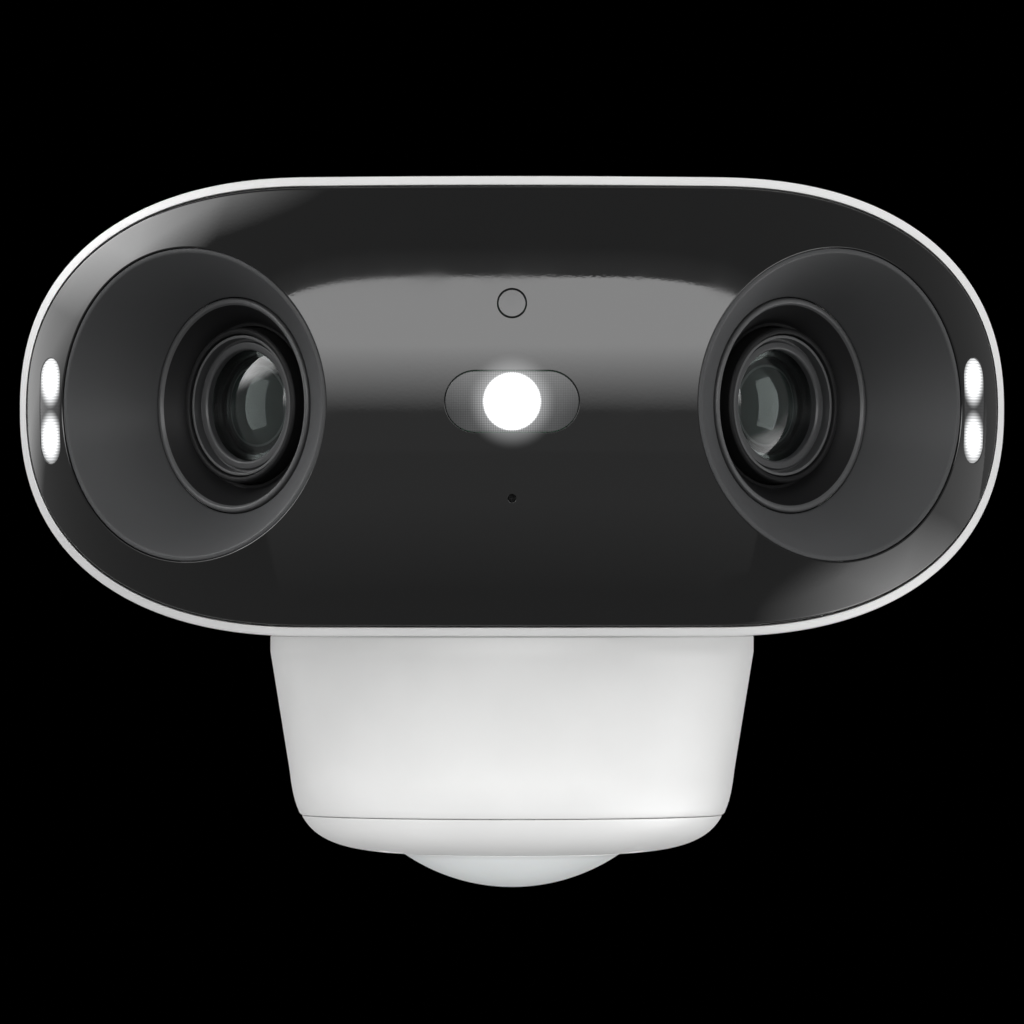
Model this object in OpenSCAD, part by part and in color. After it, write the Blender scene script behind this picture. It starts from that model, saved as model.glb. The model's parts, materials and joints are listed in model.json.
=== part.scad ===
// Pill-fronted floodlight security camera with two angled lenses, a round base
// with a motion sensor dome, and a two-axis wall mount. Millimetres, +Z up.
// The origin is the centre of the wall plate's back face; the camera looks along -Y.

/* [Head] */
// Width of the head
head_w = 195; // [190:1:200]
// Height of the head
head_h = 90.6; // [88:0.2:94]
// Depth of the head from its front to its flat back
head_depth = 84; // [83:1:86]
// Thickness of the white rim round the fascia
rim_w = 1.5; // [1:0.1:2]
// Wall thickness of the shells
wall = 2.6; // [2.4:0.1:3]
// Thickness of the black fascia
fascia_t = 2.4; // [2:0.1:2.8]

/* [Lenses] */
// Angle of each lens axis away from straight ahead
lens_angle = 44; // [42:1:46]
// Diameter of the round opening in the fascia
opening_d = 61.3; // [60:0.1:62]
// Sideways distance of each opening's middle
opening_x = 62.3; // [61:0.1:63]
// Depth of the hood ring below the opening, along the lens axis
hood_depth = 11.4; // [11:0.1:12]
// Diameter of the hood ring
hood_d = 42; // [40:0.5:43]
// Diameter of the lens barrel
barrel_d = 30.5; // [29:0.5:31]
// Diameter of the front glass that shows
glass_d = 22.4; // [22:0.2:22.6]

/* [Lights and sensors] */
// Width of the middle window
window_w = 26.1; // [24:0.1:28]
// Height of the middle window
window_h = 12; // [10:0.5:13]
// Width of each side light window
side_window_w = 7.4; // [6:0.2:7.8]
// Height of each side light window
side_window_h = 20.7; // [18:0.1:22]
// Diameter of the light sensor's window
sensor_d = 5.7; // [4:0.1:7]
// Diameter of the microphone hole
mic_d = 1.6; // [1.2:0.2:2]

/* [Base] */
// Radius of the base at its bottom shoulder
base_r = 44; // [42:0.5:45]
// Diameter of the motion sensor dome
dome_d = 43; // [40:1:44]
// Height that the dome stands out
dome_rise = 6.7; // [5:0.1:8]

/* [Wall mount] */
// Radius of the round wall plate
plate_r = 48; // [46:1:50]
// Thickness of the wall plate
plate_t = 8; // [7:1:9]
// Diameter of the circle of wall screw holes
wall_pcd = 70; // [68:1:72]
// Diameter of each wall screw hole
wall_hole_d = 4.5; // [4:0.1:5]
// Diameter of the pan and tilt pins
pin_d = 8; // [7:0.5:8]

/* [Hidden] */
$fn = 64;
gap = 0.3;                       // clearance between neighbours
plan_a = 101;                    // half-width of the ellipse that the front follows in plan
plan_b = 75;                     // its depth
crown_r = 120.8;                 // radius of the front's crown, up and down
flat_half = 39.6;                // half-length of the straight top and bottom
outline_power = 2.3;             // power of the rounded ends
end_steps = 10;                  // outline points in each quarter of an end
split_y = 66;                    // where the head shell ends
seal_t = 0.8;                    // thickness of the head seal
round_y = 70;                    // where the rear cover starts to round over
round_in = 12;                   // how far its rounding comes in
board_t = 1.6;                   // thickness of a circuit board
base_y = 56;                     // middle of the base, behind the front
base_flat = 28;                  // the base's flat back, behind its middle
seam_z = -80.65;                 // seam between the base and its bottom cap
base_end_z = -88.3;              // flat underside round the dome
tilt_y = 104;                    // tilt axis behind the front
pan_y = 127;                     // pan axis behind the front
axis_z = -12;                    // height of both joints, from the head's middle
knuckle_r = 12;                  // radius of the fork's and bracket's knuckles
hub_r = 11.5;                    // radius of the swivel arm's hubs
ear_in = 9;                      // inner face of the fork's ears and the bracket's lugs
ear_t = 5.3;                     // thickness of each ear and lug
plate_front_y = 144;             // front of the wall plate
wall_y = plate_front_y + plate_t + 2; // the wall, behind the gasket
pin_r = pin_d / 2;
side_x = 91.15;                  // middle of each side light window
side_z = -0.9;
window_z = 0.6;                  // height of the middle window
sensor_z = 19.5;                 // height of the light sensor's window
mic_z = -18.35;                  // height of the microphone hole
opening_chord = 26.2;            // half-width in plan of the chord that each opening is square to
cover_screw_at = [for (s = [-1, 1]) each [[s * 91.2, 0], [s * 30, 39.2], [s * 30, -39.2]]];
boss_r = 4.8;                    // radius of the screw bosses between the shells
cap_screw_at = [for (x = [-24, 24], y = [-14, 14]) [x, base_y + y]];
neck_screw_at = [for (x = [-26, 26], y = [31, 51]) [x, y]];

function ellipse_k(inset) = (plan_b - inset) / (plan_a - inset);
function half_width(z, inset) = plan_a - crown_r + sqrt(pow(crown_r - inset, 2) - z * z);
// Depth of the front surface at x and z, and a point on it along a lens axis
function front_y(x, z, inset) =
    plan_b - ellipse_k(inset) * sqrt(pow(half_width(z, inset), 2) - x * x);
function opening_y() =
    (front_y(opening_x - opening_chord, 0, 0) + front_y(opening_x + opening_chord, 0, 0)) / 2;
function axis_hit(x, y, z, inset) =
    let (k = ellipse_k(inset), sx = -sin(lens_angle), sy = -cos(lens_angle) / k)
    let (v = (plan_b - y) / k, qa = sx * sx + sy * sy, qb = 2 * (x * sx + v * sy))
    let (qc = x * x + v * v - pow(half_width(z, inset), 2))
    (-qb - sqrt(qb * qb - 4 * qa * qc)) / (2 * qa);
// How deep along the lens axis the front surface lies, at radius r and angle u
function rim_depth(r, u, inset) =
    axis_hit(opening_x + r * cos(u) * cos(lens_angle), opening_y() + r * cos(u) * sin(lens_angle),
        r * sin(u), inset);
function signed_power(v, p) = sign(v) * pow(abs(v), p);
function outline(inset) =
    [for (s = [-1, 1], i = [-end_steps:end_steps])
        let (t = 90 * i / end_steps + (s > 0 ? 0 : 180), p = 2 / outline_power)
        [s * flat_half + (head_w / 2 - flat_half - inset) * signed_power(cos(t), p),
            (head_h / 2 - inset) * signed_power(sin(t), p)]];

// ---- Frames ----
module camera() translate([0, -wall_y, -axis_z]) children();
module on_side(side) mirror([side < 0 ? 1 : 0, 0, 0]) children();
// Local +Z runs inwards along the right lens axis, from the middle of the opening
module along_lens(side)
    camera() on_side(side) translate([opening_x, opening_y(), 0]) rotate([0, 0, lens_angle])
        rotate([-90, 0, 0]) children();
// Local +Z runs inwards, square to the front at the side light window
side_angle = atan(ellipse_k(0) * side_x / sqrt(plan_a * plan_a - side_x * side_x));
module at_side_window(side)
    on_side(side) translate([side_x, front_y(side_x, 0, 0), side_z]) rotate([0, 0, side_angle])
        rotate([-90, 0, 0]) children();

// ---- Shared solids ----
module head_prism(inset, y0, y1)
    translate([0, y1, 0]) rotate([90, 0, 0]) linear_extrude(y1 - y0) polygon(outline(inset));
module front_form(inset)
    translate([0, plan_b, 0]) scale([1, ellipse_k(inset), 1]) rotate_extrude(angle = 360)
        intersection() {
            translate([plan_a - crown_r, 0]) circle(r = crown_r - inset, $fn = 200);
            translate([0, -60]) square([plan_a + 10, 120]);
        }
module back_form(inset, y0)
    hull() {
        head_prism(inset, y0, y0 + 0.1);
        for (a = [0:18:90])
            head_prism(inset + round_in * (1 - cos(a)), round_y - 0.1,
                round_y + (head_depth - round_y) * sin(a) - inset);
    }
module pill(w, h, deep)
    translate([0, 0, -deep]) {
        tall = h > w;
        d = tall ? w : h;
        run = abs(h - w) / 2;
        linear_extrude(2 * deep) {
            square(tall ? [w, 2 * run] : [2 * run, h], center = true);
            for (s = [-1, 1]) translate(tall ? [0, s * run] : [s * run, 0]) circle(d = d);
        }
    }
module facing(x, y, z) translate([x, y, z]) rotate([-90, 0, 0]) children();
module screw(shank_r, head_r, head_h, length) {
    cylinder(r = shank_r, h = length);
    difference() {
        translate([0, 0, -head_h]) cylinder(r = head_r, h = head_h);
        translate([0, 0, -head_h - 1]) cylinder(r = head_r * 0.45, h = 1 + head_h * 0.6, $fn = 6);
    }
}
module base_column(inset, top_z, bottom_z) {
    shoulder = [for (t = [0:0.125:1]) let (q = 1 - t)
        [base_r * q * q * q + 127.5 * t * q * q + 114 * t * t * q + dome_d / 2 * t * t * t - inset,
            -72 * q * q * q - 249 * t * q * q - 261.6 * t * t * q + base_end_z * t * t * t]];
    intersection() {
        translate([0, base_y, 0]) rotate_extrude()
            polygon(concat([[0, -30], [base_r + 4.4 - inset, -30], [base_r + 4.4 - inset, -46],
                [base_r + 3 - inset, -51]], shoulder, [[0, base_end_z]]));
        translate([-60, -10, bottom_z])
            cube([120, base_y + base_flat - inset + 10, top_z - bottom_z]);
    }
}

// ---- Wall mount ----
module wall_screw_places()
    for (a = [45:90:315]) rotate([0, a, 0]) translate([wall_pcd / 2, 0, 0]) children();
module bracket_screw_places(y) for (x = [-20, 20], z = [-9, 9]) facing(x, y, z) children();
module wall_gasket() color("dimgray") difference() {
    facing(0, -2, 0) cylinder(r = plate_r - 1, h = 2);
    facing(0, -3, 0) cylinder(r = plate_r - 7, h = 4);
}
module wall_plate() color("whitesmoke") difference() {
    union() {
        difference() {
            facing(0, -2 - plate_t, 0) rotate_extrude() difference() {
                square([plate_r, plate_t]);
                translate([plate_r - 4, 0]) difference() {
                    translate([0, -1]) square([5, 5]);
                    translate([0, 4]) circle(r = 4);
                }
            }
            facing(0, -4, 0) cylinder(r = plate_r - 8, h = 5);
        }
        wall_screw_places() facing(0, -5, 0) cylinder(r = wall_hole_d / 2 + 3, h = 5);
    }
    wall_screw_places() facing(0, -20, 0) cylinder(d = wall_hole_d, h = 30);
    facing(0, -20, 33.5) cylinder(r = 6, h = 30);
    bracket_screw_places(-20) cylinder(r = 1.7, h = 30);
}
module pivot_bracket() camera() color("gainsboro") difference() {
    union() {
        facing(0, plate_front_y - 4, axis_z) cylinder(r = 27, h = 4);
        for (s = [-1, 1]) translate([0, 0, axis_z + s * (ear_in + gap + ear_t / 2)]) {
            translate([0, pan_y, 0]) cylinder(r = knuckle_r, h = ear_t, center = true);
            translate([-knuckle_r, pan_y, -ear_t / 2]) cube([2 * knuckle_r, 14, ear_t]);
        }
    }
    translate([0, pan_y, axis_z - 30]) cylinder(r = pin_r + 0.02, h = 60);
    translate([0, 0, axis_z]) bracket_screw_places(130) cylinder(r = 1.7, h = 30);
}
module bracket_screws() color("silver")
    bracket_screw_places(plate_front_y - 4 - wall_y) screw(1.6, 3, 1.8, 9);
module pin_with_head(reach) {
    translate([0, 0, -reach]) cylinder(r = pin_r, h = 2 * reach);
    translate([0, 0, reach]) cylinder(r = pin_r + 2.5, h = 3);
}
module lock_nut(reach) translate([0, 0, -reach - 3]) difference() {
    cylinder(r = pin_r + 3, h = 3, $fn = 6);
    translate([0, 0, -1]) cylinder(r = pin_r + 0.01, h = 5);
}
lug_reach = ear_in + gap + ear_t;
ear_reach = ear_in + ear_t;
module at_pan() camera() translate([0, pan_y, axis_z]) children();
module at_tilt() camera() translate([0, tilt_y, axis_z]) rotate([0, 90, 0]) children();
module pan_pin() color("silver") at_pan() {
    pin_with_head(lug_reach);
    translate([0, 0, -lug_reach - 4]) cylinder(r = pin_r, h = 5);
}
module pan_nut() color("silver") at_pan() lock_nut(lug_reach);

// ---- Swivel ----
module swivel_arm() color("gainsboro") difference() {
    union() {
        at_pan() cylinder(r = hub_r, h = 2 * ear_in, center = true);
        at_tilt() cylinder(r = hub_r, h = 2 * (ear_in - gap), center = true);
        camera() translate([gap - ear_in, tilt_y, axis_z - ear_in])
            cube([2 * (ear_in - gap), pan_y - tilt_y, 2 * ear_in]);
    }
    at_pan() cylinder(r = pin_r + 1.5, h = 40, center = true);
    at_tilt() cylinder(r = pin_r + 1.5, h = 40, center = true);
}
module bush(length) difference() {
    cylinder(r = pin_r + 1.5, h = length, center = true);
    cylinder(r = pin_r + 0.05, h = length + 2, center = true);
}
module pan_bush() color("ivory") at_pan() bush(2 * ear_in);
module tilt_bush() color("ivory") at_tilt() bush(2 * (ear_in - gap));

// ---- Tilt fork on the head ----
fork_screw_at = [for (x = [-20, 20], z = [-11, 11]) [x, axis_z + z]];
module tilt_fork() camera() color("gainsboro") difference() {
    union() {
        translate([-25, head_depth, axis_z - 16]) cube([50, 4, 32]);
        for (s = [-1, 1]) translate([s * (ear_in + ear_t / 2), 0, axis_z]) {
            translate([0, tilt_y, 0]) rotate([0, 90, 0])
                cylinder(r = knuckle_r, h = ear_t, center = true);
            translate([-ear_t / 2, head_depth + 3, -knuckle_r])
                cube([ear_t, tilt_y - head_depth - 3, 2 * knuckle_r]);
        }
    }
    translate([0, tilt_y, axis_z]) rotate([0, 90, 0])
        cylinder(r = pin_r + 0.02, h = 60, center = true);
    for (p = fork_screw_at) facing(p[0], 70, p[1]) cylinder(r = 1.7, h = 30);
}
module fork_screws() camera() color("silver")
    for (p = fork_screw_at) translate([p[0], head_depth + 4, p[1]]) rotate([90, 0, 0])
        screw(1.6, 3, 1.8, 8);
module tilt_pin() color("silver") at_tilt() {
    pin_with_head(ear_reach);
    translate([0, 0, -ear_reach - 4]) cylinder(r = pin_r, h = 5);
}
module tilt_nut() color("silver") at_tilt() lock_nut(ear_reach);

// ---- Head shells ----
module opening_cut(side, d) along_lens(side) translate([0, 0, -30]) cylinder(d = d, h = 60);
module front_fascia() color([0.06, 0.06, 0.065]) difference() {
    camera() intersection() {
        difference() {
            front_form(0);
            front_form(fascia_t);
        }
        head_prism(rim_w, -1, 64);
    }
    for (side = [-1, 1]) {
        opening_cut(side, opening_d);
        camera() at_side_window(side) pill(side_window_w, side_window_h, 6);
    }
    camera() {
        facing(0, 0, window_z) pill(window_w, window_h, 8);
        facing(0, -5, sensor_z) cylinder(d = sensor_d, h = 12);
        facing(0, -5, mic_z) cylinder(d = mic_d, h = 12);
    }
}
module shell_boss(y0, y1, r)
    for (p = cover_screw_at) translate([p[0], y1, p[1]]) rotate([90, 0, 0])
        cylinder(r = r, h = y1 - y0);
module head_shell() camera() color("whitesmoke") difference() {
    union() {
        difference() {
            intersection() {
                head_prism(0, 0, split_y);
                front_form(0.7);
            }
            head_prism(wall, -1, split_y + 1);
            difference() {
                head_prism(rim_w - 0.15, -1, split_y - 2);
                front_form(fascia_t + 0.1);
            }
        }
        intersection() {
            shell_boss(59, split_y, boss_r);
            head_prism(1, 50, split_y);
        }
    }
    shell_boss(50, split_y + 1, 1.7);
    translate([0, 44, -60]) cylinder(r = 16, h = 30);
    for (p = neck_screw_at) translate([p[0], p[1], -60]) cylinder(r = 1.7, h = 30);
}
module head_seal() camera() color("dimgray") difference() {
    head_prism(0.7, split_y, split_y + seal_t);
    head_prism(2.4, split_y - 1, split_y + seal_t + 1);
    shell_boss(split_y - 1, split_y + 2, boss_r);
}
module rear_cover() camera() color("whitesmoke") difference() {
    union() {
        difference() {
            back_form(0, split_y + seal_t);
            back_form(wall, split_y + seal_t - 0.3);
        }
        intersection() {
            back_form(0.5, split_y + seal_t);
            shell_boss(split_y + seal_t, head_depth, boss_r);
        }
    }
    shell_boss(split_y - 1, head_depth + 1, 1.7);
    shell_boss(72, head_depth + 1, 3.2);
    for (p = fork_screw_at) facing(p[0], 70, p[1]) cylinder(r = 1.7, h = 30);
    facing(-52, 70, 4) cylinder(r = 6.2, h = 30);
}
module cover_screws() camera() color("silver")
    for (p = cover_screw_at) translate([p[0], 72, p[1]]) rotate([90, 0, 0]) screw(1.5, 3, 1.8, 14);

// ---- Lens modules ----
module lens_dish(side) color([0.2, 0.2, 0.2]) along_lens(side) {
    n = 40;
    edge = opening_d / 2 - gap;
    foot = hood_d / 2 + gap;
    // Four rings: outer lip, inner lip, inner foot, outer foot
    rings = [for (j = [0:3]) [for (i = [0:n - 1]) let (u = 360 * i / n)
        let (r = [edge, edge - 1.2, foot, foot + 2][j])
        let (t = j < 2 ? rim_depth(r, u, 0.4) : [hood_depth, hood_depth + 1.6][j - 2])
        [r * cos(u), -r * sin(u), t]]];
    polyhedron([for (ring = rings) each ring], [for (j = [0:3], i = [0:n - 1])
        let (a = j * n, b = (j + 1) % 4 * n, k = (i + 1) % n) each
        [[a + i, b + k, a + k], [a + i, b + i, b + k]]]);
}
module lens_hood(side) color([0.1, 0.1, 0.1]) along_lens(side) {
    r = hood_d / 2;
    rotate_extrude() polygon([[r - 1.2, hood_depth - 0.3], [r - 0.9, hood_depth - 0.6],
        [r - 0.3, hood_depth - 0.6], [r, hood_depth - 0.3], [r, hood_depth + 4],
        [r + 2, hood_depth + 4], [r + 2, hood_depth + 7], [barrel_d / 2 + gap, hood_depth + 7],
        [barrel_d / 2 + gap, hood_depth + 4.6], [barrel_d / 2 + 1, hood_depth + 4.6]]);
}
module lens_barrel(side) color([0.08, 0.08, 0.08]) along_lens(side) {
    r = barrel_d / 2;
    t = hood_depth + 1.3;
    rotate_extrude() polygon([[r - 1.2, t], [r - 0.4, t], [r, t + 0.4], [r, 34], [8.2, 34],
        [8.2, 29], [9, 26], [9, 19.5], [r - 3.6, 19.5], [r - 3.6, 16.1], [r - 1.5, 16.1]]);
}
module retaining_ring(side) color([0.3, 0.3, 0.3]) along_lens(side) {
    r = barrel_d / 2 - 1.5;
    inner = glass_d / 2 - 0.3;
    t = hood_depth + 1.9;
    rotate_extrude() polygon([[r, t], [r, 16.1], [inner, 16.1], [inner, t + 1.6], [inner + 0.3, t + 1.3],
        [r - 1.2, t + 1.3], [r - 0.8, t]]);
}
module front_glass(side) color([0.5, 0.6, 0.6, 0.5]) along_lens(side)
    rotate_extrude() difference() {
        intersection() {
            translate([0, 13.7]) square([barrel_d / 2 - 3.7, 5.8]);
            translate([0, 13.75 + 26]) circle(r = 26, $fn = 160);
        }
        translate([0, 17.2 + 20]) circle(r = 20, $fn = 160);
    }
module inner_lens(side) color([0.3, 0.35, 0.35]) along_lens(side) intersection() {
    translate([0, 0, 18.2]) cylinder(r = 8.8, h = 7.6);
    translate([0, 0, 18.2 + 14]) sphere(r = 14, $fn = 64);
}
module image_sensor(side) along_lens(side) {
    color("darkgreen") translate([-13, -13, 36]) cube([26, 26, board_t]);
    color([0.1, 0.1, 0.1]) translate([-6, -6, 34.8]) cube([12, 12, 1.2]);
}
module camera_frame() camera() color([0.15, 0.15, 0.15]) difference() {
    translate([0, 0, -20]) linear_extrude(40) union() {
        translate([-31, 24.2]) square([62, 2]);
        for (s = [-1, 1]) translate([s * opening_x, opening_y()]) rotate(s * lens_angle)
            translate([-21 - s / 2, 24]) square([42, 2]);
    }
    for (side = [-1, 1]) on_side(side) translate([opening_x, opening_y(), 0])
        rotate([0, 0, lens_angle]) facing(0, 10, 0) cylinder(d = barrel_d + 0.1, h = 30);
}

// ---- Front lights and sensors ----
module front_skin(from, to) difference() {
    front_form(from);
    front_form(to);
}
module centre_window() camera() color([0.25, 0.25, 0.25, 0.8]) intersection() {
    front_skin(0.1, 2.2);
    facing(0, 0, window_z) pill(window_w - 0.2, window_h - 0.2, 8);
}
module spot_led() camera() color("white") difference() {
    facing(0, 3.2, window_z) cylinder(r1 = 5.4, r2 = 4.2, h = 5.8);
    facing(0, 3, window_z) cylinder(r1 = 4.8, r2 = 2.4, h = 4.4);
}
module infrared_leds() camera() color([0.2, 0.1, 0.15])
    for (x = [-9.2, 9.2]) facing(x, 4.6, window_z) {
        cylinder(r = 2.5, h = 4.4);
        sphere(r = 1.5, $fn = 32);
    }
module front_board() camera() color("darkgreen") {
    translate([-15, 9, -23]) cube([30, board_t, 47]);
    translate([-1.5, 7.8, sensor_z - 1.5]) cube([3, 1.2, 3]);
    translate([-2, 7.8, mic_z - 2]) cube([4, 1.2, 4]);
}
module light_sensor_window() camera() color([0.2, 0.2, 0.2]) intersection() {
    front_skin(0.1, 2.2);
    facing(0, -5, sensor_z) cylinder(d = sensor_d - 0.2, h = 12);
}
module microphone_mesh() camera() color("black") facing(0, 3.9, mic_z) cylinder(r = 2.5, h = 0.5);
module side_window(side) camera() color("white") intersection() {
    front_skin(0.1, 2.2);
    at_side_window(side) pill(side_window_w - 0.2, side_window_h - 0.2, 6);
}
module side_leds(side) camera() at_side_window(side) {
    color("white") translate([-3.4, -11, 5.2]) cube([6.8, 22, 1.2]);
    color("gold") for (v = [-5.5, 5.5]) translate([0, v, 4]) cylinder(r = 2, h = 1.2);
}

// ---- Electronics in the head ----
module main_board() camera() {
    color("darkgreen") translate([-20, 62, -30]) cube([40, board_t, 60]);
    color([0.1, 0.1, 0.1]) translate([-7, 60.8, -2]) cube([14, 1.2, 14]);
    color("silver") translate([-16, 60.6, -24]) cube([22, 1.4, 16]);
}
module heat_sink() camera() color("silver") {
    translate([-18, 63.6, -14]) cube([36, 2.4, 40]);
    for (x = [-17.8:4.4:18]) translate([x - 0.2, 66, -14]) cube([1.2, 9, 40]);
}
module antennas() camera() color("gold")
    for (s = [-1, 1]) translate([s * 54 - 14, 50, 33]) cube([28, 8, 0.8]);

// ---- Base ----
module neck_seal() camera() color("dimgray") translate([0, 44, -46.3]) difference() {
    cylinder(r = 20, h = 1);
    translate([0, 0, -1]) cylinder(r = 17, h = 3);
}
module neck_screws() camera() color("silver")
    for (p = neck_screw_at) translate([p[0], p[1], -head_h / 2 + wall]) rotate([180, 0, 0])
        screw(1.5, 3, 1.8, 9);
reset_x = 21;
reset_z = -66;
speaker_x = -21;
speaker_z = -62;
flap_w = 22;
flap_h = 11;
flap_x = 3;
flap_pin_y = base_y + base_flat - 0.8;
flap_pin_z = -68;
module along_flap_pin() translate([flap_x, flap_pin_y, flap_pin_z]) rotate([0, 90, 0]) children();
module base_housing() camera() color("whitesmoke") difference() {
    base_column(0, -32, seam_z);
    difference() {
        base_column(wall, -49, seam_z - 1);
        for (p = neck_screw_at) translate([p[0], p[1], -56]) cylinder(r = 3.5, h = 10);
        translate([flap_x - 13, base_y + base_flat - 7, -73]) cube([26, 10, 18]);
    }
    difference() {
        back_form(-0.05, 0);
        translate([-60, -1, -200]) cube([120, 200, 100]);
    }
    translate([0, 44, -60]) cylinder(r = 16, h = 30);
    translate([0, 44, -46.3]) cylinder(r = 20, h = 10);
    for (p = neck_screw_at) translate([p[0], p[1], -60]) cylinder(r = 1.55, h = 30);
    for (a = [0:60:300]) facing(speaker_x + 5 * cos(a), 70, speaker_z + 5 * sin(a))
        cylinder(r = 0.9, h = 20);
    facing(speaker_x, 70, speaker_z) cylinder(r = 0.9, h = 20);
    facing(reset_x, 70, reset_z) cylinder(r = 2.6, h = 20);
    translate([flap_x - flap_w / 2 - gap, base_y + base_flat - 1.8, flap_pin_z])
        cube([flap_w + 2 * gap, 5, flap_h + gap]);
    along_flap_pin() cylinder(r = 1.9, h = flap_w + 2 * gap, center = true);
    along_flap_pin() cylinder(r = 0.81, h = flap_w + 4, center = true);
    translate([flap_x - 6.5, base_y + base_flat - 20, -63]) cube([13, 30, 2.4]);
}
module base_bottom_cap() camera() color("gainsboro") difference() {
    base_column(0.2, seam_z - 0.3, base_end_z - 1);
    intersection() {
        base_column(wall + 0.2, seam_z + 1, base_end_z + 2.4);
        translate([0, base_y, -100]) cylinder(r = 60, h = 100);
    }
    translate([0, base_y, -100]) cylinder(d = dome_d - 4, h = 30);
    for (p = cap_screw_at) translate([p[0], p[1], -100]) {
        cylinder(r = 1.7, h = 30);
        cylinder(r = 3.2, h = 13);
    }
}
module cap_screws() camera() color("silver")
    for (p = cap_screw_at) translate([p[0], p[1], -87]) screw(1.5, 3, 0.9, 6);
module motion_sensor_dome() camera() color([0.9, 0.9, 0.9]) {
    r = (pow(dome_d / 2, 2) + dome_rise * dome_rise) / (2 * dome_rise);
    translate([0, base_y, base_end_z]) rotate_extrude() difference() {
        intersection() {
            translate([0, r - dome_rise]) circle(r = r, $fn = 160);
            translate([0, -dome_rise - 1]) square([dome_d / 2, dome_rise + 1]);
        }
        translate([0, r - dome_rise]) circle(r = r - 1.6, $fn = 160);
    }
}
module motion_sensor_board() camera() {
    color("darkgreen") translate([-15, base_y - 12, -80]) cube([30, 24, board_t]);
    color("silver") translate([0, base_y, -84]) cylinder(r = 4.6, h = 4);
}
module power_board() camera() {
    color("darkgreen") translate([-26, 26, -66]) cube([52, 32, board_t]);
    color([0.2, 0.2, 0.1]) translate([-20, 30, -64.4]) cube([16, 14, 8]);
    color("navy") for (x = [4, 14]) translate([x, 38, -64.4]) cylinder(r = 4, h = 8);
}
module speaker() camera() color([0.15, 0.15, 0.15]) facing(speaker_x, 74.5, speaker_z) {
    cylinder(r = 9, h = 6.5);
    translate([0, 0, -3]) cylinder(r = 6, h = 3);
}
module reset_button() camera() color("dimgray") facing(reset_x, base_y + base_flat - 4.2, reset_z) {
    cylinder(r = 2.3, h = 4.8);
    cylinder(r = 3.4, h = 1);
}
module reset_switch() camera() {
    color([0.2, 0.2, 0.2]) translate([reset_x - 3, 74.2, reset_z - 3]) cube([6, 3.4, 6]);
    color("silver") facing(reset_x, 77.6, reset_z) cylinder(r = 1.2, h = 0.9);
}
module card_flap() camera() color("whitesmoke") difference() {
    union() {
        along_flap_pin() cylinder(r = 1.5, h = flap_w, center = true);
        translate([flap_x - flap_w / 2, flap_pin_y - 0.6, flap_pin_z]) cube([flap_w, 1.4, flap_h]);
    }
    along_flap_pin() cylinder(r = 0.85, h = flap_w + 2, center = true);
}
module flap_pin() camera() color("silver")
    along_flap_pin() cylinder(r = 0.8, h = flap_w + 3.6, center = true);
module cable_gland() camera() color([0.15, 0.15, 0.15]) facing(-52, head_depth, 4) difference() {
    union() {
        translate([0, 0, -6]) cylinder(r = 6, h = 7);
        translate([0, 0, -5.6]) cylinder(r = 8.5, h = 3, $fn = 6);
        cylinder(r = 9, h = 4, $fn = 6);
        translate([0, 0, 4]) cylinder(r1 = 8, r2 = 5.5, h = 8);
    }
    translate([0, 0, -8]) cylinder(r = 3.2, h = 24);
}

wall_gasket();
wall_plate();
pivot_bracket();
bracket_screws();
pan_pin();
pan_nut();
swivel_arm();
pan_bush();
tilt_bush();
tilt_fork();
fork_screws();
tilt_pin();
tilt_nut();
front_fascia();
head_shell();
head_seal();
rear_cover();
cover_screws();
camera_frame();
lens_dish(-1);  // left_lens_dish
lens_dish(1);  // right_lens_dish
lens_hood(-1);  // left_lens_hood
lens_hood(1);  // right_lens_hood
lens_barrel(-1);  // left_lens_barrel
lens_barrel(1);  // right_lens_barrel
retaining_ring(-1);  // left_retaining_ring
retaining_ring(1);  // right_retaining_ring
front_glass(-1);  // left_front_glass
front_glass(1);  // right_front_glass
inner_lens(-1);  // left_inner_lens
inner_lens(1);  // right_inner_lens
image_sensor(-1);  // left_image_sensor
image_sensor(1);  // right_image_sensor
centre_window();
spot_led();
infrared_leds();
front_board();
light_sensor_window();
microphone_mesh();
side_window(-1);  // left_side_window
side_window(1);  // right_side_window
side_leds(-1);  // left_side_leds
side_leds(1);  // right_side_leds
main_board();
heat_sink();
antennas();
neck_seal();
neck_screws();
base_housing();
base_bottom_cap();
cap_screws();
motion_sensor_dome();
motion_sensor_board();
power_board();
speaker();
reset_button();
reset_switch();
card_flap();
flap_pin();
cable_gland();
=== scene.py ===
"""The looks of a pill-fronted floodlight security camera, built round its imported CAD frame."""

import json
import math

import bmesh
import bpy
import numpy as np
from mathutils import Matrix, Vector
from mathutils.geometry import delaunay_2d_cdt


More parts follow.
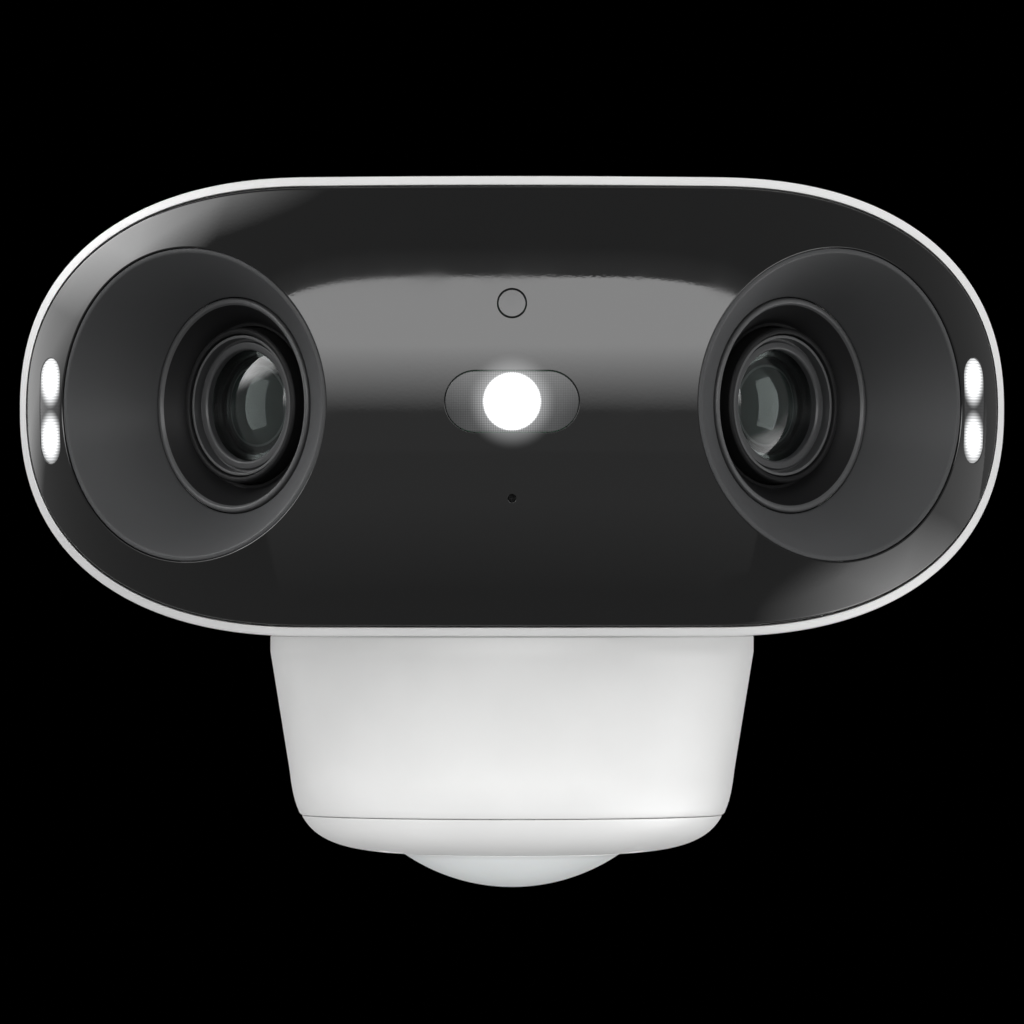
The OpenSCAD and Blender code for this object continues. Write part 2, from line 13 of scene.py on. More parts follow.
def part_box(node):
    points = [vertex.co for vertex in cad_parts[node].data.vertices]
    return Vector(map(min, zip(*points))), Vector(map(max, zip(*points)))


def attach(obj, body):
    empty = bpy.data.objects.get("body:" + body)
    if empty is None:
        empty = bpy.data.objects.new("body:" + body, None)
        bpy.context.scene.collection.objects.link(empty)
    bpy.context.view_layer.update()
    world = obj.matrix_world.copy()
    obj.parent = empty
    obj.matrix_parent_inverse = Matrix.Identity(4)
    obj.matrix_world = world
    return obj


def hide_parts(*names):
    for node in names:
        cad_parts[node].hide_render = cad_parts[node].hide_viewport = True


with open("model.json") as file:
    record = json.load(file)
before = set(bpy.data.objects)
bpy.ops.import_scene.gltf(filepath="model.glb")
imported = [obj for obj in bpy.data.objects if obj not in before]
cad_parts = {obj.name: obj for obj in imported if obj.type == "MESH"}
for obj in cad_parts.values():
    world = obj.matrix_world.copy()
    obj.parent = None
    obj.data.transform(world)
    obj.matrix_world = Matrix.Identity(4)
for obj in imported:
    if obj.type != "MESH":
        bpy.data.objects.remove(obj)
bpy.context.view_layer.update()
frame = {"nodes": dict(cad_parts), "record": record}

# ---------------------------------------------------------------- sizes, in millimetres
MM = 0.001
shell_lo, shell_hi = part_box("head_shell")
HEAD_W = (shell_hi.x - shell_lo.x) / MM
HEAD_H = (shell_hi.z - shell_lo.z) / MM - 1.4
HEAD_DROP = 0.5  # how far the outline's middle lies below the lenses
HEAD_DEPTH = 84.0
FRONT_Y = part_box("rear_cover")[1].y / MM - HEAD_DEPTH  # where the head's front would peak
MID_Z = (shell_lo.z + shell_hi.z) / 2 / MM  # the middle of the head
FLAT_HALF = 39.6  # half-length of the straight top and bottom
OUTLINE_POWER = 2.3
PLAN_A, PLAN_B = 101.0, 75.0  # the ellipse that the front follows in plan
CROWN_R = 120.8
RIM_W, RIM_MORE = 1.5, 0.4  # the white rim, and how much wider it is at the top and bottom
WALL = 2.6
FASCIA_T = 2.4
LENS_ANGLE = math.radians(44)
LENS_ACROSS = Vector((math.cos(LENS_ANGLE), math.sin(LENS_ANGLE), 0))
LENS_INWARD = Vector((-math.sin(LENS_ANGLE), math.cos(LENS_ANGLE), 0))
OPENING_X, OPENING_CHORD, OPENING_D = 62.3, 26.2, 61.3
HOOD_DEPTH, HOOD_D, BARREL_D = 11.4, 42.0, 30.5
SPLIT_Y, SEAL_T, ROUND_Y, ROUND_IN = 66.0, 0.8, 70.0, 12.0
WINDOW_Z, WINDOW_W, WINDOW_H = 0.35, 26.1, 12.0
GLASS_D = 22.4
SIDE_X, SIDE_Z, SIDE_W, SIDE_H = 91.15, -0.9, 7.4, 20.7
SENSOR_Z, SENSOR_D = 19.35, 5.7
MIC_Z, MIC_D = -18.35, 1.6
BASE_Y, BASE_FLAT, BASE_R = 56.0, 28.0, 44.0
SEAM_Z, BASE_END_Z = -80.65, -88.3
DOME_D, DOME_RISE = 43.0, 6.7
BASE_WALL = [(-30, 48.4), (-46, 48.4), (-48.5, 47.8), (-72, BASE_R)]  # heights and radii
SHOULDER = [(BASE_R, -72), (42.8, -83.6), (39.2, -87.6), (DOME_D / 2, BASE_END_Z)]
NECK_R, NECK_HOLE_R, NECK_Z = 48.4, 16, -49.0
SCREW_R, WELL_R, BOSS_R = 1.7, 3.2, 4.8
GLAND_X, GLAND_Z, GLAND_R = -52, 4, 6.2
SOUND_X, SOUND_Z, RESET_X, RESET_Z = -21, -62, 21, -66
COVER_SCREWS = [(s * x, z) for s in (-1, 1) for x, z in ((91.2, 0), (30, 39.2), (30, -39.2))]
CAP_SCREWS = [(x, y) for x in (-24, 24) for y in (-14, 14)]


# ---------------------------------------------------------------- the shared surfaces
def signed_power(v, p):
    return math.copysign(abs(v) ** p, v)


def outline(inset, more=0.0, steps=100):
    """The head's pill outline in x and z, anticlockwise seen from the front, moved in by inset
    all round and by more besides at its top and bottom."""
    points = []
    for side in (1, -1):
        for i in range(-steps, steps + 1):
            t = math.pi / 2 * i / steps + (0 if side > 0 else math.pi)
            x = side * FLAT_HALF
            x += (HEAD_W / 2 - FLAT_HALF - inset) * signed_power(math.cos(t), 2 / OUTLINE_POWER)
            z = (HEAD_H / 2 - inset - more) * signed_power(math.sin(t), 2 / OUTLINE_POWER)
            points.append((x, z - HEAD_DROP))
        start = points[-1]
        for i in range(1, 20):
            points.append((start[0] * (1 - i / 10), start[1]))
    return points


def half_width(z):
    return PLAN_A - CROWN_R + math.sqrt(CROWN_R**2 - z * z)


def front_point(u, z):
    """The front surface at plan angle u and height z."""
    w = half_width(z)
    return Vector((w * math.sin(u), PLAN_B - PLAN_B / PLAN_A * w * math.cos(u), z))


def front_normal(u, z):
    w, k = half_width(z), PLAN_B / PLAN_A
    slope = -z / math.sqrt(CROWN_R**2 - z * z)
    along = Vector((w * math.cos(u), k * w * math.sin(u), 0))
    up = Vector((slope * math.sin(u), -k * slope * math.cos(u), 1))
    return along.cross(up).normalized()


def plan_angle(x, z):
    return math.asin(x / half_width(z))


def front_y(x, z):
    return front_point(plan_angle(x, z), z).y


def hit_front(point, angle):
    """Where a level line through point, turned by angle from straight ahead, leaves the front."""
    k = PLAN_B / PLAN_A
    sx, sy = math.sin(angle), math.cos(angle) / k
    v = (PLAN_B - point.y) / k
    a, b = sx * sx + sy * sy, 2 * (point.x * sx + v * sy)
    c = point.x**2 + v * v - half_width(point.z) ** 2
    s = (-b + math.sqrt(b * b - 4 * a * c)) / (2 * a)
    return Vector((point.x + s * sx, PLAN_B - k * (v + s * sy), point.z))


OPENING_Y = (
    front_y(OPENING_X - OPENING_CHORD, 0) + front_y(OPENING_X + OPENING_CHORD, 0)
) / 2
OPENING_MID = Vector((OPENING_X, OPENING_Y, 0))
SIDE_ANGLE = math.atan(PLAN_B / PLAN_A * math.tan(plan_angle(SIDE_X, 0)))
SIDE_MID = Vector((SIDE_X, front_y(SIDE_X, 0), SIDE_Z))


def ring_on_front(middle, angle, shape):
    """The loop that a hole of the given shape cuts in the front, square to a turned line."""
    across = Vector((math.cos(angle), math.sin(angle), 0))
    return [hit_front(middle + across * a + Vector((0, 0, b)), angle) for a, b in shape]


def mirrored(loop):
    """A loop on the right of the front, moved to the left and still anticlockwise."""
    return [Vector((-p.x, p.y, p.z)) for p in reversed(loop)]


def circle(radius, steps):
    turn = 2 * math.pi / steps
    return [(radius * math.cos(i * turn), radius * math.sin(i * turn)) for i in range(steps)]


def pill(width, height, steps=24):
    """A pill outline: two half circles joined by straight runs, anticlockwise."""
    r, run = min(width, height) / 2, abs(width - height) / 2
    points = []
    for end in (0, 1):
        for i in range(steps + 1):
            t = math.pi * (i / steps - 0.5 + end)
            points.append((r * math.cos(t) + (run if end == 0 else -run), r * math.sin(t)))
        if run > 1:
            x, z = points[-1]
            count = int(run * 2)
            sign = 1 if end == 0 else -1
            points += [(x - sign * 2 * run * i / count, z) for i in range(1, count)]
    return points if width > height else [(-z, x) for x, z in points]


# ---------------------------------------------------------------- mesh helpers
def to_frame(p):
    """From the head's own millimetres, measured back from its front, to the shared frame."""
    return Vector((p[0], p[1] + FRONT_Y, p[2] + MID_Z)) * MM


def linked(name, data):
    obj = bpy.data.objects.new(name, data)
    bpy.context.scene.collection.objects.link(obj)
    return obj


def mark_sharp(bm, sharp):
    """Leaves an edge sharp where its two faces meet at more than sharp degrees."""
    for edge in bm.edges:
        edge.smooth = len(edge.link_faces) != 2 or edge.calc_face_angle() < math.radians(sharp)


def mesh_object(name, points, faces, sharp=32, normals=None):
    """A smooth-shaded mesh from points in the head's millimetres."""
    mesh = bpy.data.meshes.new(name)
    mesh.from_pydata([to_frame(p) for p in points], [], faces)
    mesh.validate()
    obj = linked(name, mesh)
    bm = bmesh.new()
    bm.from_mesh(mesh)
    bmesh.ops.recalc_face_normals(bm, faces=bm.faces)
    mark_sharp(bm, sharp)
    for face in bm.faces:
        face.smooth = True
    bm.to_mesh(mesh)
    bm.free()
    if normals is not None:
        mesh.normals_split_custom_set_from_vertices(normals)
    return obj


def loft(rings, closed=True, caps=False):
    """Faces between rings of equal length; closed joins the last ring to the first."""
    n = len(rings[0])
    points = [p for ring in rings for p in ring]
    faces = []
    for j in range(len(rings) if closed else len(rings) - 1):
        a, b = j * n, (j + 1) % len(rings) * n
        for i in range(n):
            k = (i + 1) % n
            faces.append((a + i, a + k, b + k, b + i))
    if caps:
        faces.append(tuple(range(n - 1, -1, -1)))
        faces.append(tuple(range(len(points) - n, len(points))))
    return points, faces


def rounded(profile, radius, steps=4):
    """A closed profile with its corners rounded: one radius for all, or one for each."""
    points = []
    n = len(profile)
    for i in range(n):
        r = radius[i] if isinstance(radius, (list, tuple)) else radius
        before, here, after = (Vector(profile[j % n][:2]) for j in (i - 1, i, i + 1))
        a, b = before - here, after - here
        cut = min(r, a.length * 0.45, b.length * 0.45)
        if r == 0:
            points.append(tuple(here))
            continue
        start, end = here + a.normalized() * cut, here + b.normalized() * cut
        for s in range(steps + 1):
            t = s / steps
            q = start * (1 - t) ** 2 + here * 2 * t * (1 - t) + end * t * t
            points.append(tuple(q))
    return points


def revolve(name, profile, place, turns=128, sharp=40):
    """Turns a closed (radius, depth) profile about an axis. place maps (a, b, depth) to the
    head's millimetres."""
    on_axis = [abs(r) < 1e-6 for r, _ in profile]
    points, index = [], []
    for (r, depth), centre in zip(profile, on_axis):
        index.append(len(points))
        for i in range(1 if centre else turns):
            t = 2 * math.pi * i / turns
            points.append(place(r * math.cos(t), r * math.sin(t), depth))
    faces = []
    for j in range(len(profile)):
        k = (j + 1) % len(profile)
        if on_axis[j] and on_axis[k]:
            continue
        for i in range(turns):
            n = (i + 1) % turns
            a = [index[j]] if on_axis[j] else [index[j] + i, index[j] + n]
            b = [index[k]] if on_axis[k] else [index[k] + n, index[k] + i]
            faces.append(tuple(a + b))
    return mesh_object(name, points, faces, sharp)


def along_lens(side):
    """The frame of a lens: across, up, and depth inwards from the middle of its opening."""

    def place(a, b, depth):
        p = OPENING_MID + LENS_ACROSS * a + Vector((0, 0, b)) + LENS_INWARD * depth
        return Vector((side * p.x, p.y, p.z))

    return place


def straight_back(x, y, z):
    """The frame of a round part whose axis runs back from (x, y, z)."""
    return lambda a, b, depth: Vector((x + a, y + depth, z + b))


def upwards(x, y, z):
    """The frame of a round part whose axis runs up from (x, y, z)."""
    return lambda a, b, depth: Vector((x + a, y + b, z + depth))


def applied(obj):
    """Replaces obj's mesh with the result of its modifiers."""
    bpy.context.view_layer.update()
    ready = obj.evaluated_get(bpy.context.evaluated_depsgraph_get())
    obj.data = bpy.data.meshes.new_from_object(ready)
    obj.modifiers.clear()


def combine(obj, others, operation="DIFFERENCE", sharp=32):
    """Joins obj with each of the others by a boolean and removes them."""
    for other in others:
        modifier = obj.modifiers.new("combine", "BOOLEAN")
        modifier.operation, modifier.solver, modifier.object = operation, "EXACT", other
        applied(obj)
        bpy.data.objects.remove(other)
    bm = bmesh.new()
    bm.from_mesh(obj.data)
    mark_sharp(bm, sharp)
    bm.to_mesh(obj.data)
    bm.free()
    return obj


def softened(node, width, sharp=30, segments=3, merge=0.004):
    """A copy of a CAD node with its sharp edges rounded."""
    obj = linked(node + "_soft", frame["nodes"][node].data.copy())
    bm = bmesh.new()
    bm.from_mesh(obj.data)
    bmesh.ops.remove_doubles(bm, verts=bm.verts, dist=merge * MM)
    bmesh.ops.dissolve_limit(bm, angle_limit=math.radians(0.4), verts=bm.verts, edges=bm.edges)
    for face in bm.faces:
        face.smooth = True
    for edge in bm.edges:
        edge.smooth = True
    bm.to_mesh(obj.data)
    bm.free()
    bevel = obj.modifiers.new("soften", "BEVEL")
    bevel.width, bevel.segments, bevel.limit_method = width * MM, segments, "ANGLE"
    bevel.angle_limit, bevel.harden_normals = math.radians(sharp), True
    bevel.use_clamp_overlap = True
    applied(obj)
    return obj


def plug(place, profile, turns=48):
    """A round cutter or boss."""
    return revolve("cutter", profile, place, turns)


def inside_test(rings):
    """A test of whether (x, y) lies within the first ring and outside all the others."""

    def within(x, y):
        inside = False
        for number, ring in enumerate(rings):
            qx, qy = np.roll(ring[:, 0], -1), np.roll(ring[:, 1], -1)
            px, py = ring[:, 0], ring[:, 1]
            crossing = (py > y) != (qy > y)
            at = px + (y - py) / np.where(qy == py, 1e-9, qy - py) * (qx - px)
            odd = bool(np.count_nonzero(crossing & (at > x)) % 2)
            if number == 0:
                inside = odd
            elif odd:
                return False
        return inside

    return within


def spread(border, within, cell):
    """Points in staggered rows cell apart, within the border and clear of it."""
    every = np.array(border)
    low, high = every.min(0), every.max(0)
    found = []
    for i in range(int((high[0] - low[0]) / cell) + 1):
        for j in range(int((high[1] - low[1]) / cell) + 1):
            x, y = low[0] + (i + 0.5 * (j % 2)) * cell, low[1] + j * cell
            clear = np.min((every[:, 0] - x) ** 2 + (every[:, 1] - y) ** 2) > (0.9 * cell) ** 2
            if clear and within(x, y):
                found.append(Vector((x, y)))
    return found


def skin(name, outer, holes, thickness, edges, cell=1.6, downs=None):
    """A shell that follows the front. outer and holes are loops of points on it, anticlockwise.
    Each border is rounded over by its edge and runs inwards, along its direction in downs or
    square to the front."""
    scale = 90.0  # lays the plan angle out about as long as its arc in mm
    loops = [outer] + holes
    downs = downs or [None] * len(loops)
    flat, sizes, aways = [], [], []
    for number, loop in enumerate(loops):
        sign, n = (1 if number == 0 else -1), len(loop)
        sizes.append(n)
        for i, p in enumerate(loop):
            normal = front_normal(plan_angle(p.x, p.z), p.z)
            away = sign * (loop[(i + 1) % n] - loop[i - 1]).cross(normal).normalized()
            inner = p - away * edges[number]
            aways.append(away)
            flat.append(Vector((plan_angle(inner.x, inner.z) * scale, inner.z)))
    starts = [sum(sizes[:i]) for i in range(len(sizes) + 1)]
    rims = [list(range(starts[i], starts[i + 1])) for i in range(len(loops))]
    borders = [(r[i], r[(i + 1) % len(r)]) for r in rims for i in range(len(r))]
    within = inside_test([np.array([flat[i] for i in r]) for r in rims])
    flat += spread(flat, within, cell)
    spots, _, cells, source, _, _ = delaunay_2d_cdt(flat, borders, [], 0, 1e-7)
    new_of = {old: new for new, olds in enumerate(source) for old in olds}
    faces = [tuple(f) for f in cells if within(*np.mean([spots[i] for i in f], axis=0))]
    used = sorted({i for f in faces for i in f} | {new_of[i] for r in rims for i in r})
    renumber = {old: new for new, old in enumerate(used)}
    faces = [tuple(renumber[i] for i in f) for f in faces]
    rims = [[renumber[new_of[i]] for i in r] for r in rims]
    params = [(spots[i][0] / scale, spots[i][1]) for i in used]
    normals = [front_normal(u, z) for u, z in params]
    top = [front_point(u, z) for u, z in params]
    count = len(top)
    points = top + [p - n * thickness for p, n in zip(top, normals)]
    every_normal = normals + [-n for n in normals]
    faces += [tuple(i + count for i in reversed(f)) for f in faces]
    for number, rim in enumerate(rims):
        n, steps, edge = len(rim), 5, edges[number]
        away = aways[starts[number] : starts[number + 1]]
        rings = [rim]
        for s in range(1, steps + 1):
            angle = math.pi / 2 * s / steps
            rings.append(list(range(len(points), len(points) + n)))
            for i, k in enumerate(rim):
                drop = edge * (1 - math.cos(angle))
                points.append(top[k] + away[i] * edge * math.sin(angle) - normals[k] * drop)
                every_normal.append(normals[k] * math.cos(angle) + away[i] * math.sin(angle))
        rings.append(list(range(len(points), len(points) + n)))
        for i, k in enumerate(rim):
            down = downs[number] or -normals[k]
            deep = thickness / -down.dot(normals[k])
            points.append(top[k] + away[i] * edge + down * deep)
            every_normal.append(away[i])
            points[k + count] = points[-1] - away[i] * 0.2
        rings.append([k + count for k in rim])
        for a, b in zip(rings, rings[1:]):
            for i in range(n):
                j = (i + 1) % n
                faces.append((a[i], a[j], b[j], b[i]))
    return mesh_object(name, points, faces, 40, every_normal)


# ---------------------------------------------------------------- materials
def math_node(tree, operation, first, second):
    """The result of a sum on two values, each a number or another node's output."""
    node = tree.nodes.new("ShaderNodeMath")
    node.operation = operation
    for socket, value in zip(node.inputs, (first, second)):
        if isinstance(value, float):
            socket.default_value = value
        else:
            tree.links.new(value, socket)
    return node.outputs["Value"]


def map_range(tree, value, start, end, low, high, smooth=False):
    """Takes a value that goes from start to end to one that goes from low to high."""
    node = tree.nodes.new("ShaderNodeMapRange")
    node.interpolation_type = "SMOOTHSTEP" if smooth else "LINEAR"
    names = ("From Min", "From Max", "To Min", "To Max")
    for key, number in zip(names, (start, end, low, high)):
        node.inputs[key].default_value = number
    tree.links.new(value, node.inputs["Value"])
    return node.outputs["Result"]


def material(
    name, colour, roughness, grain=0.4, height=0.004, spread=0.05, metallic=0.0, **sockets
):
    """A procedural finish: a fine grain in mm, its height in mm, and a slow change of its
    roughness by spread and of its colour."""
    made = bpy.data.materials.new(name)
    made.use_nodes = True
    nodes, links = made.node_tree.nodes, made.node_tree.links
    shader = nodes["Principled BSDF"]
    shader.inputs["Metallic"].default_value = metallic
    for key, value in sockets.items():
        shader.inputs[key.replace("_", " ").title().replace("Ior", "IOR")].default_value = value
    where = nodes.new("ShaderNodeTexCoord")
    fine = nodes.new("ShaderNodeTexNoise")
    fine.inputs["Scale"].default_value = 1 / (grain * MM)
    fine.inputs["Detail"].default_value = 2
    slow = nodes.new("ShaderNodeTexNoise")
    slow.inputs["Scale"].default_value = 1 / (14 * MM)
    slow.inputs["Detail"].default_value = 3
    for noise in (fine, slow):
        links.new(where.outputs["Object"], noise.inputs["Vector"])
    bump = nodes.new("ShaderNodeBump")
    bump.inputs["Distance"].default_value = height * MM
    links.new(fine.outputs["Fac"], bump.inputs["Height"])
    links.new(bump.outputs["Normal"], shader.inputs["Normal"])
    smoothest = max(0.0, roughness - spread)
    rough = map_range(
        made.node_tree, slow.outputs["Fac"], 0.3, 0.7, smoothest, roughness + spread
    )
    links.new(rough, shader.inputs["Roughness"])
    tint = nodes.new("ShaderNodeMix")
    tint.data_type = "RGBA"
    tint.inputs["A"].default_value = (*[c * 0.96 for c in colour], 1)
    tint.inputs["B"].default_value = (*[min(1, c * 1.04) for c in colour], 1)
    links.new(slow.outputs["Fac"], tint.inputs["Factor"])
    links.new(tint.outputs["Result"], shader.inputs["Base Color"])
    return made


FINISH = {}


def finish(name, *values, **sockets):
    """Makes a finish and keeps it under the name of its slot."""
    FINISH[name] = material(name, *values, **sockets)


finish("white_plastic", (0.74, 0.74, 0.735), 0.42, 0.35, 0.006)
# A lighter copy of white_plastic, painted light: the head is the same plastic as the base, made
# brighter to stand in for the light its rim catches.
finish("bright_white_plastic", (0.93, 0.93, 0.925), 0.42, 0.35, 0.006)
finish("grey_white_plastic", (0.74, 0.74, 0.735), 0.4, 0.35, 0.006)
finish("white_metal", (0.76, 0.76, 0.76), 0.38, 0.25, 0.008)
finish("gloss_black", (0.003, 0.0031, 0.0032), 0.03, 0.8, 0.0002, 0.01)
finish("satin_dish", (0.066, 0.067, 0.069), 0.5, 0.25, 0.008, specular_ior_level=0.25)
finish("black_hood", (0.007, 0.007, 0.0075), 0.55, 0.25, 0.006, specular_ior_level=0.2)
finish("hood_lip", (0.085, 0.086, 0.088), 0.4, 0.2, 0.004)
finish("grey_ring", (0.05, 0.051, 0.053), 0.36, 0.25, 0.003)
finish("black_plastic", (0.02, 0.02, 0.021), 0.45, 0.3, 0.008)
finish("seal_rubber", (0.035, 0.035, 0.036), 0.7, 0.3, 0.01)
finish("steel", (0.55, 0.55, 0.56), 0.32, 0.15, 0.002, 0.06, metallic=1.0)
finish("heat_sink_metal", (0.5, 0.51, 0.52), 0.42, 0.2, 0.005, 0.06, metallic=1.0)
finish("antenna_brass", (0.72, 0.55, 0.27), 0.35, 0.2, 0.003, 0.06, metallic=1.0)
finish("nylon", (0.78, 0.76, 0.7), 0.5, 0.3, 0.006)
finish("circuit_board", (0.015, 0.09, 0.04), 0.45, 0.5, 0.01)
finish("infrared_emitter", (0.05, 0.012, 0.03), 0.15, 0.3, 0.001)
finish("lens_glass", (0.6, 0.68, 0.66), 0.02, 2.0, 0.0001, 0.01, transmission_weight=1.0, ior=1.5)
finish("coated_glass", (0.022, 0.034, 0.031), 0.2, 2.0, 0.0001, 0.01, specular_ior_level=0.04)
finish("dome_plastic", (0.8, 0.8, 0.79), 0.36, 0.4, 0.004, 0.04, subsurface_weight=0.08)


def glow_material(name, colour, spots, roughness, base, ribs, depth):
    """A pane lit from behind, or a painted glow on a surface that is no lamp. Each spot is
    (x, z, radius across, radius up, softness, strength) in the head's mm. ribs holds the pitch
    of the fine lines across x and z, or 0 for none, and depth says how much they dim it."""
    made = material(name, colour, roughness, 0.5, 0.002)
    tree = made.node_tree
    nodes, links = tree.nodes, tree.links
    shader = nodes["Principled BSDF"]
    where = nodes.new("ShaderNodeTexCoord")
    total = base
    for x, z, across, up, soft, strength in spots:
        place = nodes.new("ShaderNodeMapping")
        place.vector_type = "TEXTURE"
        place.inputs["Location"].default_value = (x * MM, 0, (z + MID_Z) * MM)
        place.inputs["Scale"].default_value = (across * MM, 1e6, up * MM)
        links.new(where.outputs["Object"], place.inputs["Vector"])
        far = nodes.new("ShaderNodeVectorMath")
        far.operation = "LENGTH"
        links.new(place.outputs["Vector"], far.inputs[0])
        lit = map_range(tree, far.outputs["Value"], 1 - soft, 1 + soft, strength, 0, smooth=True)
        total = math_node(tree, "ADD", lit, total)
    for direction, pitch in zip("XZ", ribs):
        if pitch:
            wave = nodes.new("ShaderNodeTexWave")
            wave.bands_direction = direction
            wave.inputs["Scale"].default_value = math.pi / 10 / (pitch * MM)
            links.new(where.outputs["Object"], wave.inputs["Vector"])
            lines = map_range(tree, wave.outputs["Fac"], 0, 1, 1 - depth, 1)
            total = math_node(tree, "MULTIPLY", total, lines)
    links.new(total, shader.inputs["Emission Strength"])
    shader.inputs["Emission Color"].default_value = (0.98, 0.99, 1, 1)
    return made


# ---------------------------------------------------------------- head shells
def head_ring(inset, y):
    return [(x, y, z) for x, z in outline(inset)]


def build_head_shell():
    """The white ring of the head, with a rounded rim that follows the front's curve."""
    loops = [outline(0), outline(1.35, RIM_MORE), outline(WALL)]
    rings = []
    for (ax, az), (bx, bz), (cx, cz) in zip(*loops):
        rim, notch = front_y(ax * 0.9999, az) + 1.1, front_y(bx, bz) + 0.75
        step, inner = front_y(bx, bz) + FASCIA_T + 1.2, front_y(cx, cz) + FASCIA_T + 0.6
        inwards = Vector((cx - ax, cz - az)) / WALL
        lip = 1.35 + RIM_MORE * abs(inwards.y) / inwards.length
        front = [(0, rim), (lip, notch), (lip, step), (WALL, inner)]
        profile = [(0, SPLIT_Y), *front, (WALL, SPLIT_Y)]
        ring = []
        for inset, y in rounded(profile, [0.3, 0.55, 0.3, 0, 0, 0]):
            ring.append((ax + inwards.x * inset, y, az + inwards.y * inset))
        rings.append(ring)
    return mesh_object("head_shell_visual", *loft(rings))


def rounded_back(inset, steps=14):
    """Rings of the rear cover's outer surface, from its seam to its flat back."""
    rings = [head_ring(inset, ROUND_Y)]
    for i in range(1, steps + 1):
        a = math.pi / 2 * i / steps
        y = ROUND_Y + (HEAD_DEPTH - ROUND_Y - inset) * math.sin(a)
        rings.append(head_ring(inset + ROUND_IN * (1 - math.cos(a)), y))
    return rings


def build_rear_cover():
    start = SPLIT_Y + SEAL_T
    inner = [head_ring(WALL, start), *rounded_back(WALL)]
    outer = [head_ring(0.3, start), head_ring(0.08, start + 0.1), head_ring(0, start + 0.35)]
    cover = mesh_object(
        "rear_cover_visual", *loft(inner[::-1] + outer + rounded_back(0), False, True)
    )
    form = mesh_object("form", *loft([head_ring(0.5, start)] + rounded_back(0.5), False, True))
    end = HEAD_DEPTH - 0.1
    boss = [(0, start), (BOSS_R, start), (BOSS_R, end), (0, end)]
    bosses = [plug(straight_back(x, 0, z), boss) for x, z in COVER_SCREWS]
    joined = bosses[0]
    combine(joined, bosses[1:], "UNION")
    combine(joined, [form], "INTERSECT")
    combine(cover, [joined], "UNION")
    well = [(0, 60), (SCREW_R, 60), (SCREW_R, 72), (WELL_R, 72), (WELL_R, 90), (0, 90)]
    wells = [plug(straight_back(x, 0, z), well) for x, z in COVER_SCREWS]
    gland_hole = [(0, 70), (GLAND_R, 70), (GLAND_R, 90), (0, 90)]
    return combine(cover, wells + [plug(straight_back(GLAND_X, 0, GLAND_Z), gland_hole)])


def build_fascia():
    lens_shape = circle(OPENING_D / 2, 160)
    outer = [Vector((x, front_y(x, z), z)) for x, z in outline(RIM_W, RIM_MORE)]
    right = ring_on_front(OPENING_MID, LENS_ANGLE, lens_shape)
    side = ring_on_front(SIDE_MID, SIDE_ANGLE, pill(SIDE_W, SIDE_H))
    holes = [right, mirrored(right), side, mirrored(side)]
    other_inward = Vector((-LENS_INWARD.x, LENS_INWARD.y, 0))
    downs = [Vector((0, 1, 0)), LENS_INWARD, other_inward, None, None]
    edges = [0.7, 0.25, 0.25, 0.15, 0.15]
    for z, shape in (
        (WINDOW_Z, pill(WINDOW_W, WINDOW_H)),
        (SENSOR_Z, circle(SENSOR_D / 2, 48)),
        (MIC_Z, circle(MIC_D / 2, 24)),
    ):
        holes.append([Vector((a, front_y(a, b + z), b + z)) for a, b in shape])
        downs.append(None)
        edges.append(0.12)
    return skin("front_fascia_visual", outer, holes, 2.0, edges, downs=downs)


def pane(name, side, middle, angle, shape, edge, thickness=1.9):
    """A window pane that sits in its hole in the fascia, just below the surface."""
    loop = ring_on_front(middle, angle, shape)
    return skin(name, mirrored(loop) if side < 0 else loop, [], thickness, [edge], cell=0.7)


# ---------------------------------------------------------------- lens modules
def surface_depth(a, b):
    """How deep along the lens axis the front lies, under the point (a, b) of the lens frame."""
    start = OPENING_MID + LENS_ACROSS * a + Vector((0, 0, b))
    return (hit_front(start, LENS_ANGLE) - start).dot(LENS_INWARD)


def build_dish(name, side, turns=200):
    place = along_lens(side)
    rings = []
    edge, foot = OPENING_D / 2 - 0.12, HOOD_D / 2 + 0.12
    for i in range(turns):
        t = 2 * math.pi * i / turns
        c, s = math.cos(t), math.sin(t)
        lip, inner = (surface_depth(r * c, r * s) + 0.3 for r in (edge, edge - 0.9))
        profile = [
            (edge, lip + 2.2),
            (edge, lip),
            (edge - 0.9, inner + 0.15),
            (foot, HOOD_DEPTH),
            (foot + 2, HOOD_DEPTH + 1.6),
        ]
        ring = rounded(profile, [0, 0.3, 0.35, 0.3, 0])
        rings.append([place(r * c, r * s, depth) for r, depth in ring])
    return mesh_object(name, *loft(rings), sharp=50)


def build_hood(name, side):
    r, b = HOOD_D / 2, BARREL_D / 2
    profile = [
        (r - 1.25, HOOD_DEPTH - 0.3),
        (r - 0.95, HOOD_DEPTH - 0.65),
        (r - 0.3, HOOD_DEPTH - 0.65),
        (r, HOOD_DEPTH - 0.3),
        (r, HOOD_DEPTH + 0.4),
        (r, HOOD_DEPTH + 4),
        (r + 2, HOOD_DEPTH + 4),
        (r + 2, HOOD_DEPTH + 7),
        (b + 0.3, HOOD_DEPTH + 7),
        (b + 0.3, HOOD_DEPTH + 4.6),
        (b + 1, HOOD_DEPTH + 4.6),
    ]
    radii = [0.25, 0.25, 0.25, 0.25, 0, 0, 0, 0, 0, 0.2, 0.3]
    return revolve(name, rounded(profile, radii), along_lens(side), 160, 50)


def paint(obj, side, look, depth=99.0, radius=0.0):
    """Gives the faces of a lens part nearer the front than depth and out past radius a finish."""
    start, end = (to_frame(along_lens(side)(0, 0, d)) for d in (0, 1))
    inward = (end - start).normalized()
    obj.data.materials.append(look)
    for face in obj.data.polygons:
        away = face.center - start
        deep = away.dot(inward)
        if deep < depth * MM and (away - inward * deep).length > radius * MM:
            face.material_index = len(obj.data.materials) - 1


